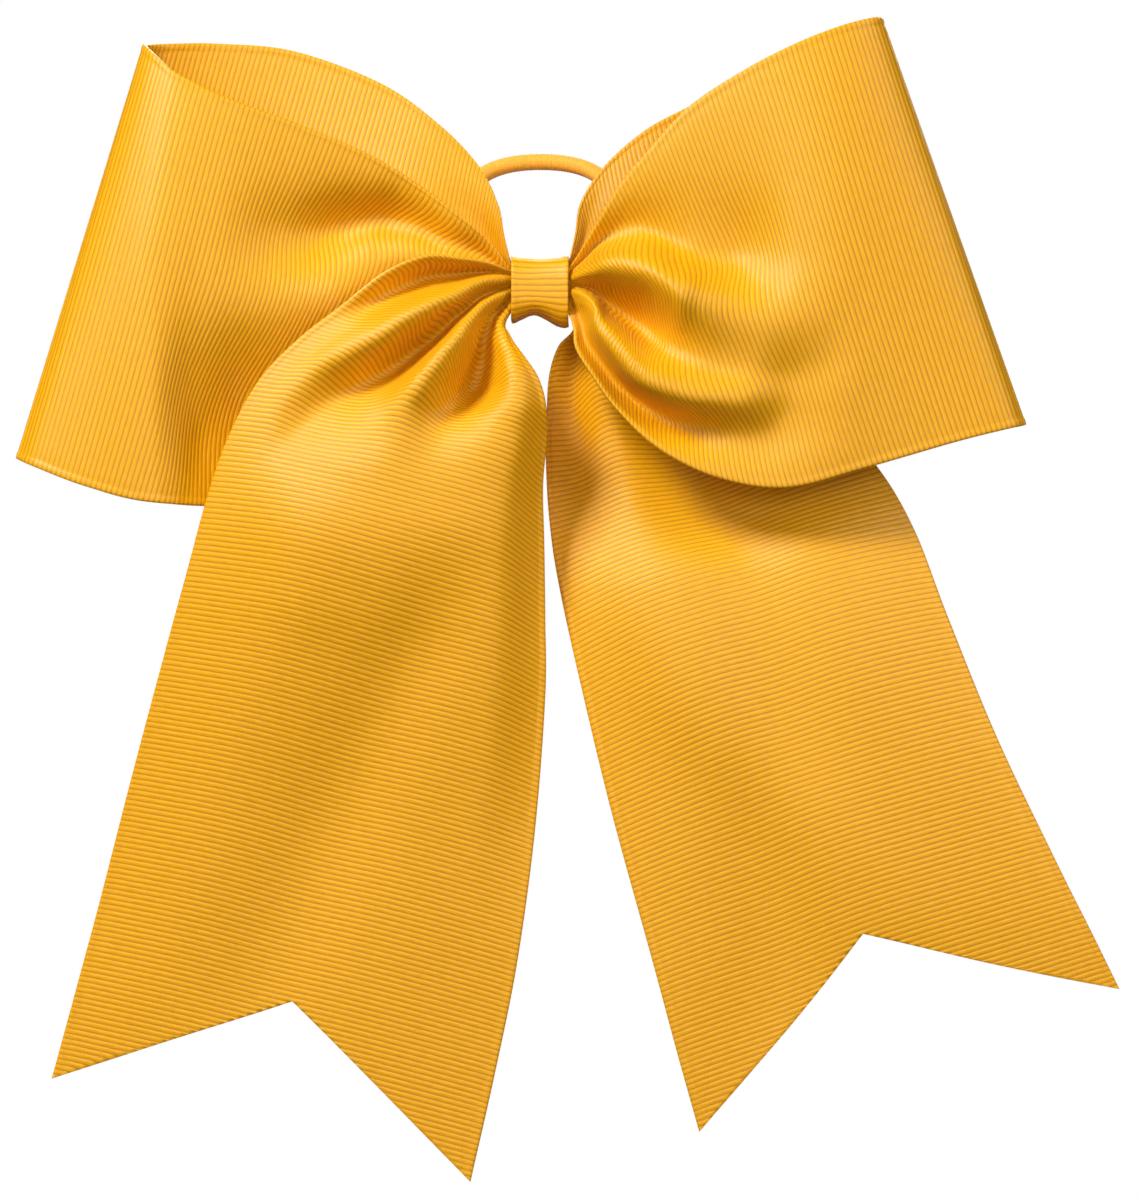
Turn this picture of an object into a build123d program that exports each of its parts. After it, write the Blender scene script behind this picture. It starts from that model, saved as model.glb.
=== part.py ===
from build123d import *
import math
import os

# Cheer hair bow, upright as worn. X to the right, Z up, the front faces -Y.
# The origin is the middle of the knot on the flat back of the centre wrap. All sizes in mm.

# --- driving dimensions -------------------------------------------------
RIBBON_WIDTH = 76.2
RIBBON_THICK = 0.5
LOOP_REACH = 1.0
TAIL_DROP = 1.0
NOTCH_DEPTH = 23.0

WRAP_WIDTH = 10.0
WRAP_THICK = 0.5
THREAD_WIDTH = 3.0
THREAD_THICK = 0.5
LAYER_THICK = 2.2
LAYER_HEIGHT = 9.0
LAYER_GAP = 0.35
FIT_GAP = 0.05
RUN_GAP = 0.3

ELASTIC_DIAMETER = 3.0
ELASTIC_TILT = 45.0
CORE_DIAMETER = 2.0
ELASTIC_BASE_HALF = 8.9
ELASTIC_TURN = 50.0
ELASTIC_TURN_RUN = 9.0
ELASTIC_SIDE_RUN = 18.0
ELASTIC_ARCH_RUN = 10.5
LEG_GAP = 0.3

LOOP_JOINT_GAP = 1.6
TAIL_HINGE_Z = -16.0
TAIL_HINGE_GAP = 1.2

# --- depth of each piece in the knot, counted from the flat back -------------
ELASTIC_Y = -(WRAP_THICK + RUN_GAP + ELASTIC_DIAMETER / 2)
THREAD_BACK_Y = ELASTIC_Y - ELASTIC_DIAMETER / 2 - RUN_GAP
REAR_Y = THREAD_BACK_Y - THREAD_THICK - FIT_GAP - LAYER_THICK / 2
MIDDLE_Y = REAR_Y - LAYER_THICK - LAYER_GAP
FRONT_Y = MIDDLE_Y - LAYER_THICK - LAYER_GAP
THREAD_FRONT_Y = FRONT_Y - LAYER_THICK / 2 - FIT_GAP - THREAD_THICK
WRAP_FRONT_Y = THREAD_FRONT_Y - FIT_GAP - WRAP_THICK

WAIST_HALF = WRAP_WIDTH / 2 + 0.2
ROOT_X = WAIST_HALF + LOOP_JOINT_GAP
THREAD_HALF_HEIGHT = LAYER_HEIGHT / 2 + FIT_GAP + THREAD_THICK
WRAP_HALF_HEIGHT = THREAD_HALF_HEIGHT + FIT_GAP + WRAP_THICK
HALF = LAYER_HEIGHT / 2
COLLAR = 1.2

# thickness of the gathered ribbon at each station, thinning from the knot to plain ribbon
LOOP_THICKNESS = [LAYER_THICK, LAYER_THICK, 1.7, 1.1, 0.8, 0.6] + 5 * [RIBBON_THICK]
TAIL_THICKNESS = [LAYER_THICK, LAYER_THICK, 1.9, 1.5, 1.1, 0.8, 0.6] + 5 * [RIBBON_THICK]

# depths in the knot for which the curves of the selvedges below are drawn
DRAWN_FRONT_Y = -10.85
DRAWN_MIDDLE_Y = -8.3
DRAWN_REAR_Y = -5.75


def slab(x0, x1, y0, y1, z0, z1):
    """A box between two corners."""
    centre = Pos((x0 + x1) / 2, (y0 + y1) / 2, (z0 + z1) / 2)
    return centre * Box(abs(x1 - x0), abs(y1 - y0), abs(z1 - z0))


def band(half_width, y_front, y_back, half_height, thickness):
    """A flat strip closed round the stack, with rounded corners."""
    depth = y_back - y_front
    outline = RectangleRounded(depth, 2 * half_height, 2.2 * thickness)
    inner = RectangleRounded(depth - 2 * thickness, 2 * (half_height - thickness), 1.2 * thickness)
    section = Plane(origin=(0, (y_front + y_back) / 2, 0), x_dir=(0, 1, 0), z_dir=(1, 0, 0))
    return extrude(section * (outline - inner), amount=half_width, both=True)


def sheet_section(upper, lower, tangent, thickness):
    """Cross-section of the ribbon: a thin rectangle from selvedge to selvedge."""
    a = Vector(*upper)
    b = Vector(*lower)
    normal = (a - b).cross(tangent).normalized() * (thickness / 2)
    return Wire.make_polygon([a + normal, b + normal, b - normal, a - normal], close=True)


def ribbon_sheet(stations, end_tangent=None):
    """Loft through stations (upper selvedge, lower selvedge, thickness)."""
    middles = [(Vector(*up) + Vector(*low)) * 0.5 for up, low, _ in stations]
    wires = []
    last = len(stations) - 1
    for i, (upper, lower, thickness) in enumerate(stations):
        tangent = middles[min(i + 1, last)] - middles[max(i - 1, 0)]
        if i == 0:
            tangent = Vector(1 if middles[1].X > middles[0].X else -1, 0, 0)
        if i == last and end_tangent is not None:
            tangent = Vector(*end_tangent)
        wires.append(sheet_section(upper, lower, tangent, thickness))
    return Solid.make_loft(wires, ruled=False)


def settle(points, layer_y, drawn_y):
    """Follow a layer when its depth in the knot changes, less and less away from the knot."""
    last = len(points) - 1
    return [(x, y + (layer_y - drawn_y) * (1 - i / last), z) for i, (x, y, z) in enumerate(points)]


def with_collar(upper, lower, layer_y, side, root_x):
    """Start both selvedges with a short straight stub as it leaves the knot."""
    stub = [side * root_x, side * (root_x + COLLAR)]
    top = [(x, layer_y, HALF) for x in stub]
    bottom = [(x, layer_y, -HALF) for x in stub]
    return top + upper, bottom + lower


def reach(points, side):
    """Selvedge points of a loop, stretched sideways by LOOP_REACH from the knot."""
    return [(side * (ROOT_X + (x - ROOT_X) * LOOP_REACH), y, z) for x, y, z in points]


def loop_stations(upper, lower, layer_y, drawn_y, side):
    """Pair the two selvedges of one loop layer."""
    upper = reach(settle(upper, layer_y, drawn_y), side)
    lower = reach(settle(lower, layer_y, drawn_y), side)
    upper, lower = with_collar(upper, lower, layer_y, side, ROOT_X)
    return list(zip(upper, lower, LOOP_THICKNESS))


def left_loop_front():
    upper = [(11.0, -10.0, 9.5), (18.0, -11.5, 15.7), (27.0, -13.0, 21.5),
             (38.0, -14.5, 26.6), (50.0, -15.5, 31.4), (60.0, -15.0, 35.6), (66.0, -13.2, 39.4),
             (68.6, -11.2, 41.9), (69.4, -8.0, 43.0)]
    lower = [(10.0, -9.6, -9.0), (18.0, -10.5, -18.0), (30.0, -11.5, -27.0),
             (44.0, -12.5, -34.0), (60.0, -14.0, -39.0), (77.0, -14.0, -35.4), (86.5, -12.5, -32.0),
             (90.6, -11.0, -30.3), (91.8, -8.0, -29.7)]
    stations = loop_stations(upper, lower, MIDDLE_Y, DRAWN_MIDDLE_Y, -1)
    return ribbon_sheet(stations, (0, 1, 0))


def left_loop_back():
    upper = [(7.9, -6.6, 12.5), (11.0, -6.0, 20.5), (17.0, -4.5, 28.0),
             (27.0, -1.0, 35.6), (42.0, 1.6, 41.6), (56.0, 0.6, 43.6), (65.0, -2.2, 43.6),
             (68.4, -4.6, 43.2), (69.4, -8.0, 43.0)]
    lower = [(10.5, -6.8, -8.5), (19.0, -5.6, -16.0), (31.0, -3.0, -23.0),
             (45.0, 0.0, -29.0), (60.0, 1.6, -32.6), (76.0, 0.4, -32.6), (86.5, -2.6, -31.0),
             (90.4, -4.8, -30.2), (91.8, -8.0, -29.7)]
    stations = loop_stations(upper, lower, REAR_Y, DRAWN_REAR_Y, -1)
    return ribbon_sheet(stations, (0, -1, 0))


def right_loop_front():
    upper = [(10.4, -13.4, 12.0), (16.0, -15.4, 20.0), (24.0, -17.2, 30.0),
             (33.0, -18.2, 36.4), (43.0, -18.0, 42.0), (52.0, -16.6, 45.6), (57.4, -14.0, 47.2),
             (59.3, -12.0, 47.6), (59.8, -8.5, 47.7)]
    lower = [(8.7, -13.0, -14.0), (15.5, -15.0, -23.5), (25.5, -17.0, -30.6),
             (40.0, -19.0, -34.8), (55.0, -19.6, -32.2), (70.0, -17.6, -27.6), (80.5, -14.4, -24.8),
             (84.2, -12.2, -24.0), (85.1, -8.5, -23.8)]
    stations = loop_stations(upper, lower, FRONT_Y, DRAWN_FRONT_Y, 1)
    return ribbon_sheet(stations, (0, 1, 0))


def right_loop_back():
    upper = [(7.6, -9.0, 14.0), (11.5, -8.0, 21.6), (18.5, -6.4, 28.4),
             (28.0, -4.6, 33.6), (39.0, -3.2, 38.6), (50.0, -3.0, 43.4), (57.0, -3.8, 46.8),
             (59.2, -5.4, 47.5), (59.8, -8.5, 47.7)]
    lower = [(10.5, -9.2, -8.5), (18.0, -8.2, -15.5), (29.0, -6.4, -21.5),
             (42.0, -4.6, -25.5), (56.0, -3.4, -26.6), (70.0, -3.0, -25.4), (80.5, -3.6, -24.4),
             (84.0, -5.2, -24.0), (85.1, -8.5, -23.8)]
    stations = loop_stations(upper, lower, MIDDLE_Y, DRAWN_MIDDLE_Y, 1)
    return ribbon_sheet(stations, (0, -1, 0))


def drop(points):
    """Selvedge points of a tail, lengthened below its hinge by TAIL_DROP."""
    return [(x, y, z if z > TAIL_HINGE_Z else TAIL_HINGE_Z + (z - TAIL_HINGE_Z) * TAIL_DROP)
            for x, y, z in points]


def notch(tip_a, tip_b, y_mid):
    """Prism that cuts the V between the two tips of a tail."""
    a = Vector(tip_a[0], 0, tip_a[2])
    b = Vector(tip_b[0], 0, tip_b[2])
    along = (b - a).normalized()
    up = Vector(-along.Z, 0, along.X)
    if up.Z < 0:
        up = up * -1
    apex = (a + b) * 0.5 + up * NOTCH_DEPTH
    far = up * -40.0
    side = along * 0.5
    outline = Wire.make_polygon([a + side, apex, b - side, b - side + far, a + side + far], close=True)
    prism = extrude(Face(outline), amount=40.0, dir=(0, 1, 0), both=True)
    return Pos(0, y_mid, 0) * prism


def straight_end(stations, shares=(0.5, 0.8, 0.95)):
    """Stations added along the last, straight stretch of a tail."""
    up_a, low_a, thick_a = stations[-2]
    up_b, low_b, thick_b = stations[-1]
    extra = []
    for share in shares:
        up = tuple(a + (b - a) * share for a, b in zip(up_a, up_b))
        low = tuple(a + (b - a) * share for a, b in zip(low_a, low_b))
        extra.append((up, low, thick_a + (thick_b - thick_a) * share))
    return stations[:-1] + extra + stations[-1:]


def tail_stations(upper, lower, layer_y, drawn_y, side):
    """Pair the two selvedges of one tail."""
    upper = settle(drop(upper), layer_y, drawn_y)
    lower = settle(drop(lower), layer_y, drawn_y)
    upper, lower = with_collar(upper, lower, layer_y, side, WAIST_HALF)
    return straight_end(list(zip(upper, lower, TAIL_THICKNESS)))


def left_tail_sheet():
    upper = [(-12.0, -14.0, 5.2), (-20.0, -16.2, 4.6), (-31.0, -17.6, -0.5),
             (-42.0, -18.4, -9.0), (-49.5, -18.8, -17.5), (-56.0, -18.6, -31.0), (-61.5, -16.6, -50.0),
             (-68.5, -13.0, -76.0), (-77.0, -9.4, -107.0), (-85.7, -7.0, -138.5)]
    lower = [(-6.2, -14.0, -7.5), (-4.6, -16.2, -10.5), (-2.6, -17.6, -13.5),
             (-0.6, -18.4, -16.5), (0.2, -18.8, -20.5), (-0.4, -18.6, -32.0), (-0.6, -16.4, -56.0),
             (-1.0, -13.0, -84.0), (-5.2, -9.8, -117.0), (-12.2, -7.6, -156.6)]
    stations = tail_stations(upper, lower, FRONT_Y, DRAWN_FRONT_Y, -1)
    return ribbon_sheet(stations) - notch(stations[-1][0], stations[-1][1], -8.0)


def right_tail_sheet():
    upper = [(13.0, -4.4, 4.6), (22.0, -1.4, 1.0), (33.0, 0.6, -7.0),
             (44.0, 2.0, -15.5), (53.0, 2.6, -23.5), (61.5, 2.8, -34.5), (68.5, 2.0, -49.0),
             (76.0, 0.0, -69.0), (87.0, -2.6, -93.0), (101.9, -5.0, -122.9)]
    lower = [(5.4, -4.4, -8.0), (3.6, -1.4, -11.0), (2.6, 0.6, -14.0),
             (2.0, 2.0, -18.5), (1.6, 2.6, -26.0), (2.0, 2.8, -40.0), (4.0, 2.0, -56.0),
             (8.6, 0.0, -76.0), (16.6, -2.6, -106.0), (28.0, -5.0, -148.0)]
    stations = tail_stations(upper, lower, REAR_Y, DRAWN_REAR_Y, 1)
    return ribbon_sheet(stations) - notch(stations[-1][1], stations[-1][0], -5.0)


def above_hinge(sheet):
    """The stiff gathered root of a tail, above its hinge line."""
    return sheet & slab(-150, 150, -60, 60, TAIL_HINGE_Z + TAIL_HINGE_GAP / 2, 100)


def below_hinge(sheet):
    """The free part of a tail, below its hinge line."""
    return sheet & slab(-150, 150, -60, 60, -400, TAIL_HINGE_Z - TAIL_HINGE_GAP / 2)


def waist_layer(y_mid):
    """One gathered ribbon layer inside the knot."""
    section = Plane(origin=(0, y_mid, 0), x_dir=(0, 1, 0), z_dir=(1, 0, 0))
    outline = RectangleRounded(LAYER_THICK, LAYER_HEIGHT, LAYER_THICK * 0.4)
    return extrude(section * outline, amount=WAIST_HALF, both=True)


def binding_thread():
    return band(THREAD_WIDTH / 2, THREAD_FRONT_Y, THREAD_BACK_Y, THREAD_HALF_HEIGHT, THREAD_THICK)


def centre_wrap():
    return band(WRAP_WIDTH / 2, WRAP_FRONT_Y, 0.0, WRAP_HALF_HEIGHT, WRAP_THICK)


def wrap_glue():
    """Glue dab between the middle gather and the wrap, under the stack beside the thread."""
    x0 = THREAD_WIDTH / 2 + 0.3
    return slab(x0, WRAP_WIDTH / 2 - 0.3, FRONT_Y + 0.6, REAR_Y - 0.6,
                -THREAD_HALF_HEIGHT - FIT_GAP, -HALF)


def elastic_plane_point(x, s):
    """Row-frame point of the tilted elastic plane: x across, s away from the knot."""
    tilt = math.radians(ELASTIC_TILT)
    return Vector(x, ELASTIC_Y + s * math.sin(tilt), s * math.cos(tilt))


def elastic_corners():
    """Corner points of the right half of the loop, from the wrap to the crown."""
    turn = math.radians(ELASTIC_TURN)
    arch = math.radians(45.0)
    x1 = ELASTIC_BASE_HALF
    x2 = x1 + ELASTIC_TURN_RUN * math.cos(turn)
    s2 = ELASTIC_TURN_RUN * math.sin(turn)
    s3 = s2 + ELASTIC_SIDE_RUN
    x4 = x2 - ELASTIC_ARCH_RUN * math.cos(arch)
    s4 = s3 + ELASTIC_ARCH_RUN * math.sin(arch)
    return [(x1, 0.0), (x2, s2), (x2, s3), (x4, s4)]


def bend_radius(before, corner, after):
    """Tangent arc radius at a corner: 0.45 of the shorter run over tan of half the turn."""
    a = corner - before
    b = after - corner
    turn = math.radians(a.get_angle(b))
    return 0.45 * min(a.length, b.length) / math.tan(turn / 2)


def elastic_ring():
    """Closed centreline of the elastic, with its radii and length printed."""
    half = elastic_corners()
    ring = [elastic_plane_point(x, s) for x, s in half]
    ring += [elastic_plane_point(-x, s) for x, s in reversed(half)]
    count = len(ring)
    radii = [bend_radius(ring[i - 1], ring[i], ring[(i + 1) % count]) for i in range(count)]
    path = FilletPolyline(*ring, radius=radii, close=True)
    print("elastic bend radii, mm:", [round(r, 2) for r in radii])
    print("elastic length round, mm:", round(path.length, 2))
    return path


def leg_ends():
    """Where the straight legs begin and end, measured from the knot in the loop's plane."""
    corners = elastic_corners()
    low = corners[1][1] + 0.45 * min(ELASTIC_TURN_RUN, ELASTIC_SIDE_RUN)
    high = corners[2][1] - 0.45 * min(ELASTIC_ARCH_RUN, ELASTIC_SIDE_RUN)
    return low, high


def cord_solids(path):
    """Cover and core swept along one closed line."""
    start = path.location_at(0.0)
    plane = Plane(origin=start.position, z_dir=path.tangent_at(0.0))
    cover_section = plane * (Circle(ELASTIC_DIAMETER / 2) - Circle(CORE_DIAMETER / 2))
    core_section = plane * Circle(CORE_DIAMETER / 2)
    return sweep(cover_section, path=path), sweep(core_section, path=path)


def plane_block(x0, x1, s0, s1):
    """A block in the elastic's plane, used to cut the ring into its parts."""
    block = Box(x1 - x0, 40.0, s1 - s0)
    placed = Pos((x0 + x1) / 2, 0, (s0 + s1) / 2) * block
    return Pos(0, ELASTIC_Y, 0) * (Rot(-ELASTIC_TILT, 0, 0) * placed)


def elastic_parts():
    """Cover and core of the base, both legs and the crown."""
    cover, core = cord_solids(elastic_ring())
    low, high = leg_ends()
    blocks = {
        "elastic_base": plane_block(-60, 60, -20, low),
        "elastic_left_leg": plane_block(-60, 0, low + LEG_GAP, high - LEG_GAP),
        "elastic_right_leg": plane_block(0, 60, low + LEG_GAP, high - LEG_GAP),
        "elastic_crown": plane_block(-60, 60, high, 80),
    }
    parts = {}
    for name, block in blocks.items():
        parts[name + "_cover"] = cover & block
        parts[name + "_core"] = core & block
    return parts


def all_parts():
    """Every sub-part, by node name."""
    left_sheet = left_tail_sheet()
    right_sheet = right_tail_sheet()
    parts = {
        "centre_wrap": centre_wrap(),
        "wrap_glue": wrap_glue(),
        "binding_thread": binding_thread(),
        "waist_front_layer": waist_layer(FRONT_Y),
        "waist_middle_layer": waist_layer(MIDDLE_Y),
        "waist_rear_layer": waist_layer(REAR_Y),
        "left_tail_root": above_hinge(left_sheet),
        "left_tail": below_hinge(left_sheet),
        "right_tail_root": above_hinge(right_sheet),
        "right_tail": below_hinge(right_sheet),
        "left_loop_front": left_loop_front(),
        "left_loop_back": left_loop_back(),
        "right_loop_front": right_loop_front(),
        "right_loop_back": right_loop_back(),
    }
    parts.update(elastic_parts())
    return parts


os.makedirs("parts", exist_ok=True)
for node, solid in all_parts().items():
    pieces = solid.solids()
    print(node, "solids", len(pieces), "volume mm3", round(solid.volume, 1))
    export_step(pieces[0], "parts/" + node + ".step")
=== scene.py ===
import math

import bpy
import numpy as np
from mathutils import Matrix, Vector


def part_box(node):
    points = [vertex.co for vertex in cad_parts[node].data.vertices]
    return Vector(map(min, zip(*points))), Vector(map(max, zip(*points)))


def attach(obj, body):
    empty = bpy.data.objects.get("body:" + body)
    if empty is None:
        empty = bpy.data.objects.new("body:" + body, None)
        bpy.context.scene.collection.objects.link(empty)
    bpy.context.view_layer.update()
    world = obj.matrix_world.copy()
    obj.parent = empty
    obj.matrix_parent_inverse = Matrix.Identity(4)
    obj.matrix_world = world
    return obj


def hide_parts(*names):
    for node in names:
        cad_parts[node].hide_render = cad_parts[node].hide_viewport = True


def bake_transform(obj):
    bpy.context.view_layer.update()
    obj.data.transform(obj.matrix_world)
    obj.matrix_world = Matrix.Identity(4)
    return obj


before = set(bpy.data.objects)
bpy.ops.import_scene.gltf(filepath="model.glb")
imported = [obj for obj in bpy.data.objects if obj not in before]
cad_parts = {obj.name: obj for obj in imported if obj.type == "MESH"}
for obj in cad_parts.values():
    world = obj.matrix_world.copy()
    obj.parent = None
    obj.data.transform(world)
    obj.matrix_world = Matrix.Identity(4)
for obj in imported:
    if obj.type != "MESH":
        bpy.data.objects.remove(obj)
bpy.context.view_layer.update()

MM = 0.001

RIBBON_WIDTH = 76.2
RIBBON_THICK = 0.42
RIB_PITCH = 0.95
ROWS_PER_RIB = 4
RIB_HEIGHT = 0.095
RIB_SLIP = 0.45
SELVEDGE = 1.5
NOTCH_DEPTH = 23.0
NO_TRIANGLES = np.zeros((0, 3), int)


# ---------------------------------------------------------------- small helpers

def linear(hex_colour):
    """sRGB hex to linear RGBA."""
    parts = [int(hex_colour[i:i + 2], 16) / 255 for i in (1, 3, 5)]
    return [c / 12.92 if c <= 0.04045 else ((c + 0.055) / 1.055) ** 2.4 for c in parts] + [1.0]


def add(tree, kind, links=(), **settings):
    """Add one node, set its values, and link (output socket, input name) pairs into it."""
    node = tree.nodes.new(kind)
    for key, value in settings.items():
        if key in node.bl_rna.properties:
            setattr(node, key, value)
        else:
            node.inputs[key.replace("_", " ")].default_value = value
    for source, name in links:
        tree.links.new(source, node.inputs[name])
    return node


def smooth_through(stations, at, steady=False):
    """Cubic curve through rows of numbers. Column 0 is the distance along, the slope at each row is
    the mean of the slopes on its two sides, and between rows it is the cubic with those slopes.
    A steady curve has the harmonic mean, none at a turning point or an end, and never overshoots."""
    table = np.asarray(stations, float)
    t, y = table[:, 0], table[:, 1:]
    step = np.diff(y, axis=0) / np.diff(t)[:, None]
    slope = np.vstack([step[:1], (step[1:] + step[:-1]) / 2, step[-1:]])
    if steady:
        a, b = step[:-1], step[1:]
        same = a * b > 0
        slope = np.zeros_like(y)
        slope[1:-1] = np.where(same, 2 * a * b / np.where(same, a + b, 1.0), 0.0)
    at = np.clip(np.asarray(at, float), t[0], t[-1])
    k = np.clip(np.searchsorted(t, at, side="right") - 1, 0, len(t) - 2)
    h = (t[k + 1] - t[k])[:, None]
    f = ((at - t[k])[:, None]) / h
    a = (1 + 2 * f) * (1 - f) ** 2
    b = f * (1 - f) ** 2
    c = f * f * (3 - 2 * f)
    d = f * f * (f - 1)
    return a * y[k] + b * h * slope[k] + c * y[k + 1] + d * h * slope[k + 1]


def unit(v):
    """Vectors of length 1 along the last axis."""
    return v / np.maximum(np.linalg.norm(v, axis=-1, keepdims=True), 1e-12)


def grid_faces(index):
    """Quads over a grid of vertex numbers. Where rows or columns fall together a quad becomes a
    triangle, or goes."""
    a, b = index[:-1, :-1].ravel(), index[1:, :-1].ravel()
    c, d = index[1:, 1:].ravel(), index[:-1, 1:].ravel()
    quads = np.stack([a, b, c, d], axis=1)
    left, right = a == b, d == c
    whole = quads[~left & ~right]
    tri_l = quads[left & ~right][:, [0, 2, 3]]
    tri_r = quads[~left & right][:, [0, 1, 2]]
    return whole, np.vstack([tri_l, tri_r])


def band_faces(rows, cols):
    """Quads of a closed band with an outside, an inside and two side walls. The rows go round and
    join up, and the inside's vertices follow the outside's."""
    index = np.arange(rows * cols).reshape(rows, cols)
    index = np.vstack([index, index[:1]])
    count = rows * cols
    quads, _ = grid_faces(index)
    left = np.stack([index[:-1, 0], index[1:, 0], index[1:, 0] + count, index[:-1, 0] + count], axis=1)
    right = np.stack([index[1:, -1], index[:-1, -1], index[:-1, -1] + count, index[1:, -1] + count],
                     axis=1)
    return np.vstack([quads, quads[:, ::-1] + count, left[:, ::-1], right[:, ::-1]])


def mesh_object(name, points, quads, triangles, uv=None):
    """A smooth-shaded mesh in metres from points in mm."""
    sizes = np.concatenate([np.full(len(quads), 4), np.full(len(triangles), 3)]).astype(np.int32)
    corners = np.concatenate([quads.ravel(), triangles.ravel()]).astype(np.int32)
    used = np.unique(corners)
    renumber = np.full(len(points), -1, dtype=np.int32)
    renumber[used] = np.arange(len(used), dtype=np.int32)
    corners_new = renumber[corners]
    mesh = bpy.data.meshes.new(name)
    mesh.vertices.add(len(used))
    mesh.vertices.foreach_set("co", (points[used] * MM).astype(np.float32).ravel())
    mesh.loops.add(len(corners_new))
    mesh.loops.foreach_set("vertex_index", corners_new)
    mesh.polygons.add(len(sizes))
    starts = np.concatenate([[0], np.cumsum(sizes)[:-1]]).astype(np.int32)
    mesh.polygons.foreach_set("loop_start", starts)
    mesh.update(calc_edges=True)
    mesh.polygons.foreach_set("use_smooth", np.ones(len(sizes), dtype=bool))
    if uv is not None:
        layer = mesh.uv_layers.new(name="cloth")
        layer.data.foreach_set("uv", uv[corners].astype(np.float32).ravel())
    mesh.validate()
    obj = bpy.data.objects.new(name, mesh)
    bpy.context.scene.collection.objects.link(obj)
    return obj


def two_sided(name, middle, index, lift, thick, uv):
    """A closed cloth from its middle surface: each side stands off along the normal by half the
    thickness plus the relief, and the border between the sides is walled."""
    along = np.gradient(middle, axis=0)
    across = np.gradient(middle, axis=1)
    normal = unit(np.cross(across, along))
    off = (thick / 2 + lift)[..., None] * normal
    count = middle.shape[0] * middle.shape[1]
    points = np.concatenate([(middle + off).reshape(-1, 3), (middle - off).reshape(-1, 3)])
    quads, tris = grid_faces(index)
    front_q, front_t = quads[:, ::-1], tris[:, ::-1]
    back_q, back_t = front_q[:, ::-1] + count, front_t[:, ::-1] + count
    edges = np.concatenate([np.stack([f, np.roll(f, -1, axis=1)], axis=2).reshape(-1, 2)
                            for f in (front_q, front_t) if len(f)])
    key = edges.min(axis=1).astype(np.int64) * (2 * count) + edges.max(axis=1)
    _, first, times = np.unique(key, return_index=True, return_counts=True)
    rim = edges[first[times == 1]]
    walls = np.stack([rim[:, 1], rim[:, 0], rim[:, 0] + count, rim[:, 1] + count], axis=1)
    return mesh_object(name, points, np.vstack([front_q, back_q, walls]),
                       np.vstack([front_t, back_t]), np.vstack([uv, uv]))


# ---------------------------------------------------------------- camera and lights

CAMERA_LENS = 200.0
FRAME_HEIGHT = 209.8
CAMERA_AIM = (5.1, -12.0, -54.5)

camera_data = bpy.data.cameras.new("camera")
camera_data.lens = CAMERA_LENS
camera_data.sensor_width = 36.0
camera = bpy.data.objects.new("camera", camera_data)
bpy.context.scene.collection.objects.link(camera)
CAMERA_DISTANCE = FRAME_HEIGHT * CAMERA_LENS / 36.0
camera.location = (CAMERA_AIM[0] * MM, (CAMERA_AIM[1] - CAMERA_DISTANCE) * MM, CAMERA_AIM[2] * MM)
camera.rotation_euler = (math.pi / 2, 0, 0)
camera_data.clip_start = 0.01
bpy.context.scene.camera = camera


def soft_light(name, place, size, power, aim=(0, 0, -0.05)):
    """A square soft box that faces the bow."""
    data = bpy.data.lights.new(name, "AREA")
    data.shape = "SQUARE"
    data.size = size
    data.energy = power
    lamp = bpy.data.objects.new(name, data)
    lamp.location = place
    way = np.array(aim) - np.array(place)
    pitch = math.acos(-way[2] / np.linalg.norm(way))
    lamp.rotation_euler = (pitch, 0, math.atan2(way[1], way[0]) - math.pi / 2)
    bpy.context.scene.collection.objects.link(lamp)


soft_light("key", (-0.50, -0.60, 0.62), 0.26, 11.8)
soft_light("fill", (0.80, -0.50, 0.42), 0.40, 3.4)
soft_light("front", (0.10, -1.25, 0.02), 0.6, 5.0)
soft_light("low", (-0.7, -0.9, -0.35), 0.7, 0.4)
soft_light("rear", (0.2, 0.9, 0.5), 0.6, 11.0)

world = bpy.data.worlds.new("studio")
bpy.context.scene.world = world
world.use_nodes = True
tree = world.node_tree
tree.nodes.clear()
rays = add(tree, "ShaderNodeLightPath")
ambient = add(tree, "ShaderNodeBackground", Color=(1, 1, 1, 1), Strength=0.10)
white = add(tree, "ShaderNodeBackground", Color=(1, 1, 1, 1), Strength=1.0)
mix = add(tree, "ShaderNodeMixShader")
tree.links.new(rays.outputs["Is Camera Ray"], mix.inputs[0])
tree.links.new(ambient.outputs[0], mix.inputs[1])
tree.links.new(white.outputs[0], mix.inputs[2])
add(tree, "ShaderNodeOutputWorld", [(mix.outputs[0], "Surface")])
bpy.context.scene.view_settings.view_transform = "Standard"


# ---------------------------------------------------------------- materials

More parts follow.
